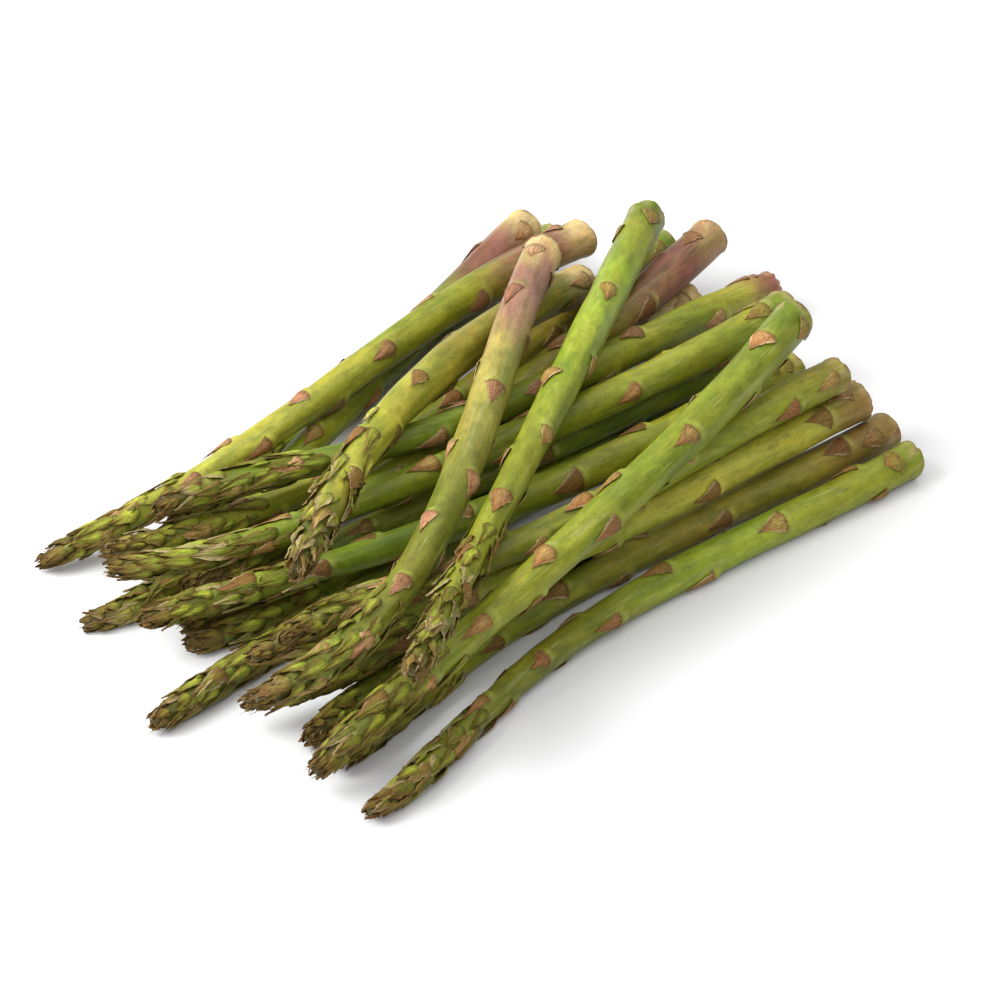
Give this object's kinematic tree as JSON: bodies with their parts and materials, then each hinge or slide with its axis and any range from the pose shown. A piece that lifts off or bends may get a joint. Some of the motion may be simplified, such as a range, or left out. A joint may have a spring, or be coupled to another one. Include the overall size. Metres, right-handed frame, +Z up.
{
  "type": "bundle of asparagus",
  "caption": "Loose bundle of green asparagus spears lying on a table, scaly heads one way and cut butts the other.",
  "frame": {"origin": "On the table top, under the middle of the bundle's outer box.", "axes": "+Z up, +X from the spears' tips to their cut butts, which is the longest way; +Y completes the right-handed set."},
  "size_m": [0.266, 0.1648, 0.049],
  "materials": {
    "skin_green": "smooth waxy green plant skin",
    "skin_olive": "smooth waxy olive plant skin",
    "skin_pale": "smooth waxy pale green to white plant skin",
    "skin_purple": "smooth waxy purple-tinged plant skin"
  },
  "bodies": {
    "root": {"under_rear": "skin_green", "under_middle": "skin_green", "under_front": "skin_green", "front_brown_end": "skin_olive", "front_single": "skin_olive", "cross_low": "skin_green", "rear_white_end": "skin_pale", "rear_slim": "skin_green", "short_low": "skin_green", "middle_dark": "skin_green", "rear_edge": "skin_olive", "white_end_low": "skin_pale", "purple_thick": "skin_purple", "right_thick": "skin_olive", "right_slim": "skin_olive", "middle_olive": "skin_olive", "middle_green": "skin_green", "middle_right": "skin_olive", "top_bright": "skin_green", "cross_frayed": "skin_pale", "cross_green": "skin_green", "cross_pale": "skin_pale"}
  },
  "joints": []
}
